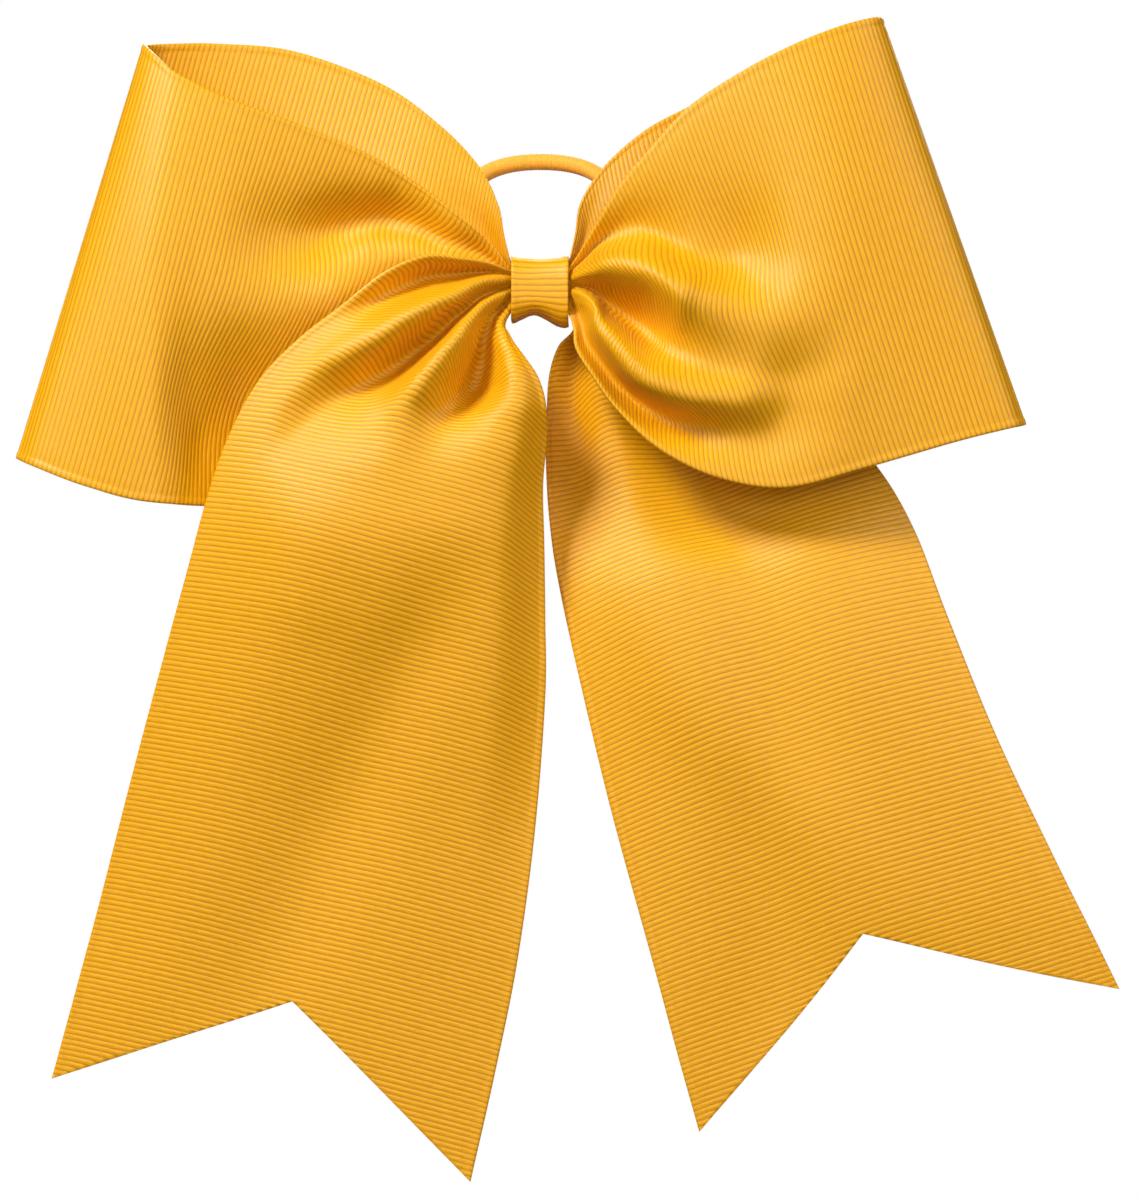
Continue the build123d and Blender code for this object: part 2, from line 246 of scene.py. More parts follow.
def grosgrain(name="polyester_grosgrain_golden"):
    """Woven polyester grosgrain: a thick weft makes the ribs, fine bright warp threads cover them,
    0.24 mm apart, so each rib looks finely beaded and has a soft satin sheen along it. The colour is
    painted darker in the grooves between the ribs, as painted shade."""
    material = bpy.data.materials.new(name)
    material.use_nodes = True
    tree = material.node_tree
    tree.nodes.clear()
    uv = add(tree, "ShaderNodeUVMap", uv_map="cloth").outputs[0]
    parts = add(tree, "ShaderNodeSeparateXYZ", [(uv, 0)])
    # warp threads: waves across the ribbon, 0.24 mm apart, uv is in metres
    warp = add(tree, "ShaderNodeMath", [(parts.outputs[0], 0)], operation="MULTIPLY")
    warp.inputs[1].default_value = 2 * math.pi / 0.00024
    warp_wave = add(tree, "ShaderNodeMath", [(warp.outputs[0], 0)], operation="SINE")
    # ribs, in step with the relief of the mesh; the grooves between them are painted darker below, as
    # painted shade
    rib = add(tree, "ShaderNodeMath", [(parts.outputs[1], 0)], operation="MULTIPLY")
    rib.inputs[1].default_value = math.pi / (RIB_PITCH * MM)
    rib_wave = add(tree, "ShaderNodeMath", [(rib.outputs[0], 0)], operation="SINE")
    painted_groove_shade_mask = add(tree, "ShaderNodeMath", [(rib_wave.outputs[0], 0)], operation="ABSOLUTE")
    # thread-to-thread unevenness, stretched along the ribs
    stretch = add(tree, "ShaderNodeMapping", [(uv, "Vector")])
    stretch.inputs["Scale"].default_value = (500.0, 2600.0, 1.0)
    uneven = add(tree, "ShaderNodeTexNoise", [(stretch.outputs[0], "Vector")], Scale=1.0, Detail=3.0)
    broad = add(tree, "ShaderNodeTexNoise", [(uv, "Vector")], Scale=45.0, Detail=2.0)
    # painted shade: the grooves between the ribs get the darker #BE8000, the rib tops #EFA800
    groove = add(tree, "ShaderNodeMapRange", [(painted_groove_shade_mask.outputs[0], "Value")])
    groove.inputs["From Min"].default_value = 0.0
    groove.inputs["From Max"].default_value = 0.75
    tint = add(tree, "ShaderNodeMix", [(groove.outputs[0], 0)], data_type="RGBA")
    tint.inputs[6].default_value = linear("#BE8000")
    tint.inputs[7].default_value = linear("#EFA800")
    vary = add(tree, "ShaderNodeMath", [(uneven.outputs[0], 0)], operation="MULTIPLY_ADD")
    vary.inputs[1].default_value = 0.28
    vary.inputs[2].default_value = 0.84
    vary2 = add(tree, "ShaderNodeMath", [(broad.outputs[0], 0), (vary.outputs[0], 2)],
                operation="MULTIPLY_ADD")
    vary2.inputs[1].default_value = 0.05
    shade = add(tree, "ShaderNodeMix", data_type="RGBA", blend_type="MULTIPLY")
    shade.inputs[0].default_value = 1.0
    tree.links.new(tint.outputs[2], shade.inputs[6])
    tree.links.new(vary2.outputs[0], shade.inputs[7])
    height = add(tree, "ShaderNodeMath", [(warp_wave.outputs[0], 0), (uneven.outputs[0], 2)],
                 operation="MULTIPLY_ADD")
    height.inputs[1].default_value = 0.5
    bump = add(tree, "ShaderNodeBump", [(height.outputs[0], "Height")], Strength=0.35, Distance=0.00005)
    shader = add(tree, "ShaderNodeBsdfPrincipled",
                 [(shade.outputs[2], "Base Color"), (bump.outputs[0], "Normal")],
                 Roughness=0.42, Sheen_Weight=0.04, Sheen_Roughness=0.3)
    shader.inputs["Sheen Tint"].default_value = linear("#FFE2A0")
    shader.inputs["Specular IOR Level"].default_value = 0.45
    add(tree, "ShaderNodeOutputMaterial", [(shader.outputs[0], "Surface")])
    return material


def knitted_cover():
    """Knitted polyester cover on elastic: fine rings of thread across the cord, matte with a glow."""
    material = bpy.data.materials.new("knitted_elastic_cover_golden")
    material.use_nodes = True
    tree = material.node_tree
    tree.nodes.clear()
    uv = add(tree, "ShaderNodeUVMap", uv_map="cloth").outputs[0]
    stretch = add(tree, "ShaderNodeMapping", [(uv, "Vector")])
    stretch.inputs["Scale"].default_value = (900.0, 3600.0, 1.0)
    uneven = add(tree, "ShaderNodeTexNoise", [(stretch.outputs[0], "Vector")], Scale=1.0, Detail=3.0)
    tint = add(tree, "ShaderNodeMix", [(uneven.outputs[0], 0)], data_type="RGBA")
    tint.inputs[6].default_value = linear("#CF8A12")
    tint.inputs[7].default_value = linear("#FFBF3C")
    bump = add(tree, "ShaderNodeBump", [(uneven.outputs[0], "Height")], Strength=0.5, Distance=0.00008)
    shader = add(tree, "ShaderNodeBsdfPrincipled",
                 [(tint.outputs[2], "Base Color"), (bump.outputs[0], "Normal")],
                 Roughness=0.7, Sheen_Weight=0.5, Sheen_Roughness=0.4)
    add(tree, "ShaderNodeOutputMaterial", [(shader.outputs[0], "Surface")])
    return material


def plain_fabric_like(name, dark, light, scale, roughness):
    """A small hidden piece: two close colours in fine noise, with the noise as relief."""
    material = bpy.data.materials.new(name)
    material.use_nodes = True
    tree = material.node_tree
    tree.nodes.clear()
    where = add(tree, "ShaderNodeTexCoord").outputs["Object"]
    grain = add(tree, "ShaderNodeTexNoise", [(where, "Vector")], Scale=scale, Detail=4.0)
    tint = add(tree, "ShaderNodeMix", [(grain.outputs[0], 0)], data_type="RGBA")
    tint.inputs[6].default_value = linear(dark)
    tint.inputs[7].default_value = linear(light)
    bump = add(tree, "ShaderNodeBump", [(grain.outputs[0], "Height")], Strength=0.4, Distance=0.0001)
    shader = add(tree, "ShaderNodeBsdfPrincipled",
                 [(tint.outputs[2], "Base Color"), (bump.outputs[0], "Normal")], Roughness=roughness)
    add(tree, "ShaderNodeOutputMaterial", [(shader.outputs[0], "Surface")])
    return material


RIBBON_CLOTH = grosgrain()
COVER_CLOTH = knitted_cover()
THREAD = plain_fabric_like("spun_polyester_thread", "#C07A10", "#F0B040", 3000.0, 0.8)
GLUE = plain_fabric_like("hot_melt_glue", "#D8CBA0", "#F0E8CC", 400.0, 0.35)


# ---------------------------------------------------------------- elastic cord

ELASTIC_DIAMETER = 3.0
ELASTIC_TILT = math.radians(45.0)
ELASTIC_Y = -2.3
HALF_ROUTE = [(5.0, 0.0), (8.9, 0.0), (14.685, 6.894), (14.685, 25.4), (7.6, 34.4)]


def elastic_point(x, s):
    """Point of the elastic's tilted plane, in metres."""
    return (x * MM, (ELASTIC_Y + s * math.sin(ELASTIC_TILT)) * MM, s * math.cos(ELASTIC_TILT) * MM)


ELASTIC_ROUTE = [elastic_point(x, s) for x, s in HALF_ROUTE]
ELASTIC_ROUTE += [elastic_point(-x, s) for x, s in reversed(HALF_ROUTE)]


def spline_points(name, route):
    """Points read from the smooth NURBS line through a cord's route."""
    curve = bpy.data.curves.new(name, "CURVE")
    curve.dimensions = "3D"
    curve.resolution_u = 40
    line = curve.splines.new("NURBS")
    line.points.add(len(route) - 1)
    for point, place in zip(line.points, route):
        point.co = (*place, 1.0)
    line.order_u = 3
    line.use_endpoint_u = True
    holder = bpy.data.objects.new(name, curve)
    bpy.context.scene.collection.objects.link(holder)
    mesh = bpy.data.meshes.new_from_object(holder)
    points = np.empty(len(mesh.vertices) * 3)
    mesh.vertices.foreach_get("co", points)
    bpy.data.objects.remove(holder)
    bpy.data.curves.remove(curve)
    bpy.data.meshes.remove(mesh)
    return points.reshape(-1, 3)


def cord_tube(name, line, radius, pitch, relief):
    """A tube of the given radius round a line, with rings of thread as rounded ridges across it.
    Each ring of points lies square to the line, turned so that the tube doesn't twist."""
    line = line / MM
    gaps = np.linalg.norm(np.diff(line, axis=0), axis=1)
    along = np.concatenate([[0], np.cumsum(gaps)])
    s = np.arange(0, along[-1], pitch / 4)
    centre = np.stack([np.interp(s, along, line[:, k]) for k in range(3)], axis=1)
    tangent = unit(np.gradient(centre, axis=0))
    plane_normal = np.array([0.0, -math.cos(ELASTIC_TILT), math.sin(ELASTIC_TILT)])
    side = unit(np.cross(tangent, plane_normal))
    angle = np.linspace(0, 2 * math.pi, 33)[:-1]
    ridge = np.abs(np.sin(math.pi * (s[:, None] / pitch + 0.5 * angle[None, :] / math.pi)))
    r = radius - relief + relief * ridge
    r[0] = r[-1] = 0.05
    ring = (np.cos(angle)[None, :, None] * side[:, None, :]
            + np.sin(angle)[None, :, None] * plane_normal[None, None, :])
    points = centre[:, None, :] + r[..., None] * ring
    rows, cols = r.shape
    index = np.arange(rows * cols).reshape(rows, cols)
    index = np.concatenate([index, index[:, :1]], axis=1)
    quads, tris = grid_faces(index)
    caps = np.stack([index[0, :-1], index[-1, :-1][::-1]])
    fan = np.stack([np.repeat(caps[:, :1], cols - 2, axis=1), caps[:, 1:-1], caps[:, 2:]],
                   axis=2).reshape(-1, 3)
    uv = np.stack(np.broadcast_arrays(angle[None, :] * radius, s[:, None]), axis=-1).reshape(-1, 2) * MM
    triangles = np.vstack([tris.reshape(-1, 3), fan])
    return mesh_object(name, points.reshape(-1, 3), quads, triangles, uv), s[-1]


elastic_line = spline_points("elastic_line", ELASTIC_ROUTE)
elastic, elastic_length = cord_tube("elastic_loop", elastic_line, ELASTIC_DIAMETER / 2, 0.55, 0.09)
elastic.data.materials.append(COVER_CLOTH)
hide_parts("elastic_base_cover", "elastic_left_leg_cover", "elastic_right_leg_cover",
            "elastic_crown_cover", "elastic_base_core", "elastic_left_leg_core",
            "elastic_right_leg_core", "elastic_crown_core")
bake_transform(elastic)


# ---------------------------------------------------------------- ribbon surfaces

def selvedge_columns():
    """Distances across the ribbon: close together on both selvedges, wider between."""
    edge = np.array([0.0, 0.35, 0.8, 1.2, 1.5, 1.9])
    middle = np.linspace(3.0, RIBBON_WIDTH - 3.0, 47)
    return np.concatenate([edge, middle, RIBBON_WIDTH - edge[::-1]])


COLUMNS = selvedge_columns()


def crease_depth(creases, where, c):
    """Depth of the gathers. Every crease line is a ridge or a hollow that runs along the ribbon and
    has at each station a place across and a height; across the ribbon the height goes from one
    line to the next by the smooth step 3f^2 - 2f^3."""
    lines = [smooth_through(crease, where, steady=True) for crease in creases]
    place = np.stack([line[:, 0] for line in lines], axis=1)
    height = np.stack([line[:, 1] for line in lines], axis=1)
    order = np.arange(len(lines)) * 0.025
    place = np.maximum.accumulate(place - order, axis=1) + order
    depth = np.zeros((len(where), len(c)))
    for k in range(len(lines) - 1):
        a, b = place[:, k:k + 1], place[:, k + 1:k + 2]
        f = np.clip((c[None, :] - a) / (b - a), 0, 1)
        inside = (c[None, :] >= a) & ((c[None, :] < b) | (k == len(lines) - 2))
        depth += np.where(inside, height[:, k:k + 1] + (height[:, k + 1:k + 2] - height[:, k:k + 1])
                          * f * f * (3 - 2 * f), 0.0)
    return depth


def dent_depth(dents, where, c):
    """Sum of soft dents and swellings. Each follows a line along the ribbon, with a place across, a
    height and a half-width at each station; its section is a bell curve."""
    depth = np.zeros((len(where), len(c)))
    for dent in dents:
        row = smooth_through(dent, where, steady=True)
        place, height, width = row[:, 0:1], row[:, 1:2], np.abs(row[:, 2:3]) + 1e-3
        inside = ((where >= dent[0][0]) & (where <= dent[-1][0]))[:, None]
        depth += np.where(inside, height * np.exp(-((c[None, :] - place) / width) ** 2), 0.0)
    return depth


def ribbon(rows, creases, dents, end_notch=0.0, samples=260):
    """Ribbon surface between two selvedges.
    Each row gives both selvedge points, how far the rib bows away from the knot and how far the cloth
    bellies out. The rib is the chord plus a parabola of bow and belly plus the creases' and dents'
    depth. Points
    are then spaced evenly along each rib, so that the cloth keeps its width, and ribs are set out at
    one pitch along every thread, counted from the free end. In a hollow the ribs slip away from the
    knot and on a ridge towards it, by RIB_SLIP times the depth, so that they arch round the folds."""
    table = np.array([[i] + list(r) for i, r in enumerate(rows)], float)
    v = np.linspace(0, len(rows) - 1, 60 * (len(rows) - 1) + 1)
    line = smooth_through(table, v)
    p, q, bow, belly = line[:, 0:3], line[:, 3:6], line[:, 6:7], line[:, 7:8]
    c = np.linspace(0, 1, samples)
    mid = (p + q) / 2
    chord = unit(q - p)
    away = np.gradient(mid, axis=0)
    away -= (away * chord).sum(axis=1, keepdims=True) * chord
    away[:, 1] *= 0.2
    away = unit(away)
    arch = 4 * c * (1 - c)
    depth = crease_depth(creases, v, c) + dent_depth(dents, v, c) + belly * arch[None, :]
    sheet = (p[:, None, :] + (q - p)[:, None, :] * c[None, :, None]
             + away[:, None, :] * (bow * arch[None, :])[..., None])
    sheet[..., 1] -= depth
    # even spacing along each rib
    gaps = np.linalg.norm(np.diff(sheet, axis=1), axis=2)
    run = np.concatenate([np.zeros((len(v), 1)), np.cumsum(gaps, axis=1)], axis=1)
    run /= run[:, -1:]
    shift = np.arange(len(v))[:, None] * 2.0
    target = (COLUMNS / RIBBON_WIDTH)[None, :] + shift
    key = (run + shift).ravel()
    slip = RIB_SLIP * np.interp(target, key, depth.ravel())
    sheet = np.stack([np.interp(target, key, sheet[..., k].ravel()) for k in range(3)], axis=2)
    # one rib pitch along every thread, counted back from the free end
    gaps = np.linalg.norm(np.diff(sheet, axis=0), axis=2)
    total = gaps.sum(axis=0)
    along = np.concatenate([np.zeros((1, sheet.shape[1])), np.cumsum(gaps, axis=0)])
    back = total[None, :] - along - slip
    back = np.minimum.accumulate(back, axis=0) - np.arange(len(v))[:, None] * 1e-6
    total = back[0]
    step = RIB_PITCH / ROWS_PER_RIB
    ribs = np.arange(int(total.max() / step), -1, -1) * step
    cut = end_notch * (1 - np.abs(2 * COLUMNS / RIBBON_WIDTH - 1))
    wanted = np.maximum(np.minimum(ribs[:, None], total[None, :]), cut[None, :])
    low_index = (ribs[:, None] > total[None, :]).sum(axis=0)
    high_index = len(ribs) - 1 - (ribs[:, None] < cut[None, :]).sum(axis=0)
    numbers = np.clip(np.arange(len(ribs))[:, None], np.maximum(low_index - 1, 0)[None, :],
                      np.minimum(high_index + 1, len(ribs) - 1)[None, :])
    offset = np.arange(sheet.shape[1])[None, :] * 1000.0
    key = (-back + offset).T.ravel()
    middle = np.stack([np.interp((-wanted + offset).T.ravel(), key, sheet[..., k].T.ravel())
                       .reshape(sheet.shape[1], -1).T for k in range(3)], axis=2)
    index = numbers * len(COLUMNS) + np.arange(len(COLUMNS))[None, :]
    return middle, index, wanted


def relief(distance):
    """Height of the weave above the cloth: rounded ribs with sharp grooves, a raised cord along
    each selvedge and a thin line between it and the ribs."""
    rib = RIB_HEIGHT * np.abs(np.sin(math.pi * distance / RIB_PITCH)) ** 0.8
    from_edge = np.minimum(COLUMNS, RIBBON_WIDTH - COLUMNS)[None, :]
    cord = 0.12 * np.exp(-((from_edge - 0.7) / 0.45) ** 2)
    rim = np.clip(from_edge / 0.3, 0, 1)
    inner = np.where(from_edge < SELVEDGE, 0.55, 1.0)
    line = 1.0 - 0.8 * np.exp(-((from_edge - 1.5) / 0.25) ** 2)
    return rib * inner * line + cord * rim


def ribbon_piece(name, rows, creases, dents, end_notch=0.0):
    """One ribbon piece as a closed, ribbed cloth."""
    middle, index, distance = ribbon(rows, creases, dents, end_notch)
    uv = np.stack(np.broadcast_arrays(COLUMNS[None, :], distance), axis=-1).reshape(-1, 2) * MM
    obj = two_sided(name, middle, index, relief(distance), RIBBON_THICK, uv)
    obj.data.materials.append(RIBBON_CLOTH)
    return obj


# rows: upper selvedge x y z, lower selvedge x y z, bow, belly (mm)
LEFT_TAIL_ROWS = [
    (-4.6, -10.5, 2.9, -4.6, -10.5, -2.9, 0.0, 0.0),
    (-9.0, -12.4, 4.5, -6.2, -12.2, -6.4, 1.5, 0.5),
    (-14.0, -14.0, 5.2, -5.4, -13.4, -8.2, 3.5, 1.0),
    (-20.0, -15.4, 5.5, -4.2, -14.6, -10.2, 5.5, 1.5),
    (-27.0, -16.8, 2.6, -2.4, -15.8, -12.6, 7.0, 2.0),
    (-34.5, -17.4, -3.2, -0.3, -16.6, -15.8, 8.0, 2.5),
    (-42.0, -17.8, -9.1, 1.0, -17.2, -20.2, 8.0, 3.0),
    (-48.6, -18.2, -16.0, 1.2, -17.4, -26.2, 7.0, 4.0),
    (-53.6, -18.6, -25.0, 0.5, -17.2, -34.5, 5.0, 5.0),
    (-57.4, -18.4, -35.4, 0.7, -16.6, -44.5, 3.0, 5.5),
    (-61.3, -17.2, -49.4, 0.9, -15.6, -58.0, 1.5, 4.5),
    (-65.0, -15.4, -62.5, 0.9, -14.2, -71.5, 0.5, 3.5),
    (-71.2, -12.2, -85.0, -0.9, -11.6, -95.0, 0.0, 2.5),
    (-77.0, -9.6, -107.0, -4.0, -9.8, -118.0, 0.0, 2.0),
    (-81.4, -8.2, -123.0, -7.9, -8.6, -137.5, 0.0, 1.5),
    (-85.7, -7.0, -138.5, -12.2, -7.6, -156.6, 0.0, 1.0)]
# crease lines: (station, place across, height in mm), height forward
LEFT_TAIL_CREASES = [
    [(0, 0.0, 0.3), (1.4, 0.0, 2.0), (2.6, 0.0, 3.0), (4, 0.0, 1.8), (5.5, 0.0, 0.0), (15, 0.0, 0.0)],
    [(0, 0.10, -0.4), (1.4, 0.14, -2.6), (2.6, 0.13, -4.0), (3.2, 0.12, -4.0), (4.2, 0.09, -2.2),
     (5.2, 0.05, 0.0), (15, 0.05, 0.0)],
    [(0, 0.25, 0.4), (0.6, 0.26, 1.6), (2.4, 0.34, 3.6), (4.3, 0.23, 4.2), (5.5, 0.14, 2.8),
     (6.4, 0.10, 1.2), (8, 0.09, 0.0), (15, 0.09, 0.0)],
    [(0, 0.42, -0.4), (0.6, 0.45, -1.6), (2.5, 0.51, -3.8), (3.8, 0.455, -6.2), (4.4, 0.39, -7.0),
     (5.0, 0.335, -6.4), (5.8, 0.285, -4.4), (7.2, 0.20, -1.6), (8.5, 0.16, 0.0), (15, 0.16, 0.0)],
    [(0, 0.57, 0.4), (0.7, 0.58, 1.6), (2.9, 0.62, 3.8), (4.2, 0.54, 4.6), (5.0, 0.48, 4.0),
     (5.8, 0.46, 2.4), (7, 0.50, 0.8), (8.5, 0.50, 0.0), (15, 0.50, 0.0)],
    [(0, 0.74, -0.4), (0.7, 0.79, -1.8), (3.1, 0.80, -5.0), (4.0, 0.78, -7.2), (4.8, 0.735, -7.8),
     (5.4, 0.70, -5.2), (6.0, 0.665, -2.2), (6.8, 0.63, -0.3), (7.4, 0.62, 0.0), (15, 0.62, 0.0)],
    [(0, 0.93, 0.4), (1.5, 0.95, 1.8), (3.4, 0.95, 2.6), (4.5, 0.93, 3.4), (5.7, 0.91, 3.2),
     (6.7, 0.90, 2.0), (8, 0.88, 0.8), (9.5, 0.86, 0.3), (15, 0.84, 0.0)],
    [(0, 1.0, -0.3), (2, 1.0, 0.8), (4, 1.0, 1.4), (6, 1.0, 0.2), (7, 1.0, -2.2), (9, 1.0, -3.6),
     (11, 1.0, -2.6), (13, 1.0, 0.0), (15, 1.0, 0.0)]]

# dents: (station, place across, height in mm, half-width as a share of the width)
LEFT_TAIL_DENTS = [
    [(8.6, 0.74, 0.0, 0.12), (10.5, 0.66, -1.5, 0.13), (12.0, 0.52, -1.6, 0.13),
     (13.5, 0.44, -0.8, 0.13), (15, 0.40, 0.0, 0.13)],
    [(8.0, 0.28, 0.0, 0.14), (9.5, 0.30, 1.2, 0.16), (12, 0.22, 1.0, 0.14), (15, 0.20, 0.0, 0.14)]]

RIGHT_FRONT_ROWS = [
    (4.6, -10.5, 2.9, 4.6, -10.5, -2.9, 0.0, 0.0),
    (7.4, -12.2, 7.0, 5.9, -12.2, -7.0, 2.5, 0.5),
    (10.0, -13.4, 11.5, 6.2, -13.6, -10.5, 5.5, 1.0),
    (13.4, -14.6, 17.2, 8.7, -14.6, -14.8, 8.0, 1.5),
    (19.2, -15.8, 24.2, 13.6, -15.2, -21.6, 9.0, 2.0),
    (26.2, -16.6, 31.6, 21.0, -15.4, -28.4, 9.0, 2.0),
    (36.0, -17.0, 38.0, 31.0, -15.4, -33.2, 7.5, 2.0),
    (45.0, -16.6, 42.6, 43.0, -15.2, -34.9, 5.0, 2.5),
    (52.5, -15.4, 45.6, 57.0, -14.6, -31.4, 2.0, 2.2),
    (57.2, -13.4, 47.0, 73.0, -13.2, -26.8, 0.8, 1.2),
    (59.3, -11.2, 47.5, 82.2, -11.4, -24.5, 0.2, 0.4),
    (59.8, -8.5, 47.7, 85.1, -8.5, -23.8, 0.0, 0.0)]
RIGHT_FRONT_CREASES = [
    [(0, 0.0, 0.2), (2, 0.0, 0.6), (4, 0.0, 0.2), (5, 0.0, 0.0), (11, 0.0, 0.0)],
    [(0, 0.10, -0.4), (1.4, 0.08, -1.8), (2.8, 0.17, -2.8), (3.9, 0.33, -3.4), (5.0, 0.42, -2.6),
     (6.5, 0.45, -0.4), (7.5, 0.45, 0.0), (11, 0.45, 0.0)],
    [(0, 0.26, 0.4), (0.5, 0.27, 1.8), (1.5, 0.28, 4.2), (2.8, 0.40, 5.6), (3.9, 0.53, 5.4),
     (4.5, 0.57, 3.8), (5.5, 0.60, 2.0), (6.8, 0.62, 0.8), (8, 0.62, 0.0), (11, 0.62, 0.0)],
    [(0, 0.42, -0.4), (0.6, 0.45, -2.0), (1.9, 0.62, -5.2), (2.7, 0.68, -6.4), (3.5, 0.72, -5.0),
     (4.2, 0.735, -1.2), (5.0, 0.735, 0.4), (6.5, 0.73, 0.4), (8, 0.73, 0.0), (11, 0.73, 0.0)],
    [(0, 0.58, 0.4), (0.4, 0.58, 1.4), (2.0, 0.80, 3.8), (3.4, 0.865, 5.4), (3.9, 0.875, 5.8),
     (4.8, 0.85, 4.2), (5.8, 0.81, 2.4), (7.0, 0.79, 0.8), (8.2, 0.79, 0.0), (11, 0.79, 0.0)],
    [(0, 0.80, -0.4), (0.5, 0.85, -1.2), (2.2, 0.93, -2.2), (3.4, 0.945, -3.8), (4.1, 0.935, -5.2),
     (4.7, 0.925, -5.2), (5.2, 0.91, -3.8), (5.9, 0.90, -1.8), (7.0, 0.90, 0.0), (11, 0.90, 0.0)],
    [(0, 1.0, 0.2), (2, 1.0, 0.8), (3.5, 1.0, 1.2), (5, 1.0, 1.4), (6.5, 1.0, 0.6),
     (8, 1.0, 0.0), (11, 1.0, 0.0)]]
RIGHT_FRONT_DENTS = [
    [(5.8, 0.80, 0.0, 0.12), (6.7, 0.80, -2.6, 0.12), (7.8, 0.80, 0.0, 0.12)],
    [(4.0, 0.36, 0.0, 0.12), (5.3, 0.42, -2.0, 0.13), (6.6, 0.44, 0.0, 0.12)]]

LEFT_FRONT_ROWS = [
    (-4.6, -8.5, 2.9, -4.6, -8.5, -2.9, 0.0, 0.0),
    (-9.0, -8.9, 8.4, -8.5, -8.6, -7.6, 2.0, 0.0),
    (-14.0, -10.6, 12.8, -13.0, -8.4, -12.5, 5.0, 0.0),
    (-21.0, -11.2, 18.0, -19.5, -8.2, -18.5, 7.0, 0.0),
    (-29.7, -12.2, 23.3, -28.0, -8.2, -25.0, 8.0, 0.0),
    (-42.0, -13.6, 28.5, -38.0, -9.2, -31.5, 8.0, 0.8),
    (-54.2, -15.0, 32.9, -52.0, -12.0, -37.5, 6.0, 2.0),
    (-62.9, -14.8, 37.2, -68.0, -14.8, -37.4, 2.5, 2.2),
    (-67.0, -12.8, 40.6, -79.4, -14.0, -34.6, 1.0, 1.4),
    (-69.0, -10.4, 42.5, -88.4, -11.4, -31.2, 0.3, 0.4),
    (-69.4, -8.0, 43.0, -91.8, -8.0, -29.7, 0.0, 0.0)]
LEFT_FRONT_DENTS = [
    [(0, 0.60, 0.0, 0.07), (1, 0.46, -0.9, 0.10), (2, 0.42, -1.0, 0.12),
     (3, 0.46, 0.0, 0.12), (4, 0.50, 2.0, 0.12), (5.2, 0.50, 1.6, 0.14), (6.2, 0.5, 0.0, 0.14)],
    [(0, 0.20, 0.0, 0.07), (1.5, 0.20, -0.2, 0.08), (2.6, 0.16, -3.0, 0.09), (3.3, 0.18, -5.2, 0.10),
     (3.9, 0.24, -5.4, 0.11), (4.8, 0.30, -2.4, 0.12), (5.8, 0.32, 0.0, 0.12)],
    [(3.8, 0.78, 0.0, 0.20), (5.0, 0.78, -3.2, 0.20), (5.7, 0.80, -6.8, 0.21), (6.25, 0.82, -5.2, 0.21),
     (6.9, 0.84, 0.0, 0.20)]]

LEFT_BACK_ROWS = [
    (-4.6, -6.4, 2.9, -4.6, -6.4, -2.9, 0.0, 0.0),
    (-6.2, -6.0, 9.2, -7.0, -5.8, -6.5, 3.0, 0.0),
    (-7.3, -6.0, 14.8, -11.0, -5.2, -10.0, 6.0, 0.0),
    (-10.6, -5.4, 21.6, -18.0, -4.0, -15.5, 8.0, 0.0),
    (-17.5, -4.0, 29.0, -27.0, -2.6, -21.0, 8.0, 0.0),
    (-28.0, -1.2, 36.6, -38.0, -0.6, -26.0, 7.0, 0.0),
    (-43.5, 1.0, 42.5, -51.0, 1.2, -30.0, 5.0, 0.0),
    (-57.0, 0.6, 43.8, -66.0, 1.2, -31.9, 2.0, 0.0),
    (-65.0, -2.0, 43.6, -79.0, -0.8, -31.6, 0.8, 0.0),
    (-68.6, -5.0, 43.2, -88.4, -4.2, -30.6, 0.2, 0.0),
    (-69.4, -8.0, 43.0, -91.8, -8.0, -29.7, 0.0, 0.0)]
LEFT_BACK_DENTS = [
    [(0, 0.30, 0.0, 0.07), (2, 0.30, 0.3, 0.08), (4, 0.30, 0.5, 0.10), (6, 0.3, 0.0, 0.12)],
    [(0, 0.50, -0.8, 0.07), (2, 0.50, -1.2, 0.08), (4, 0.52, -1.0, 0.10), (6, 0.5, 0.0, 0.12)],
    [(0, 0.70, 0.0, 0.07), (2, 0.72, 0.4, 0.08), (4, 0.74, 0.8, 0.10), (6, 0.7, 0.0, 0.12)]]

RIGHT_BACK_ROWS = [
    (4.6, -8.5, 2.9, 4.6, -8.5, -2.9, 0.0, 0.0),
    (6.1, -8.2, 9.4, 7.5, -8.0, -6.0, 3.0, 0.0),
    (7.2, -7.8, 15.4, 11.5, -7.4, -9.5, 5.0, 0.0),
    (11.4, -7.0, 21.8, 18.0, -6.4, -15.0, 6.0, 0.0),
    (18.4, -5.8, 28.0, 27.0, -5.2, -20.0, 6.0, 0.0),
    (26.0, -4.8, 32.2, 38.0, -4.2, -24.0, 5.0, 0.0),
    (36.5, -3.8, 37.6, 50.0, -3.4, -26.5, 3.0, 0.0),
    (46.0, -3.2, 42.2, 62.0, -3.0, -26.6, 1.5, 0.0),
    (53.5, -3.4, 45.4, 72.0, -3.0, -25.6, 0.6, 0.0),
    (57.6, -4.6, 47.0, 80.5, -4.2, -24.6, 0.2, 0.0),
    (59.3, -6.2, 47.5, 84.2, -6.0, -24.0, 0.0, 0.0),
    (59.8, -8.5, 47.7, 85.1, -8.5, -23.8, 0.0, 0.0)]
RIGHT_BACK_DENTS = [
    [(0, 0.20, 0.8, 0.06), (2, 0.16, 1.4, 0.07), (4, 0.12, 0.8, 0.08), (6, 0.1, 0.0, 0.12)],
    [(0, 0.44, 0.0, 0.07), (2, 0.44, -0.4, 0.08), (4, 0.46, -0.6, 0.10), (6, 0.5, 0.0, 0.12)],
    [(0, 0.70, 0.8, 0.07), (2, 0.72, 1.0, 0.08), (4, 0.74, 0.8, 0.10), (6, 0.7, 0.0, 0.12)]]

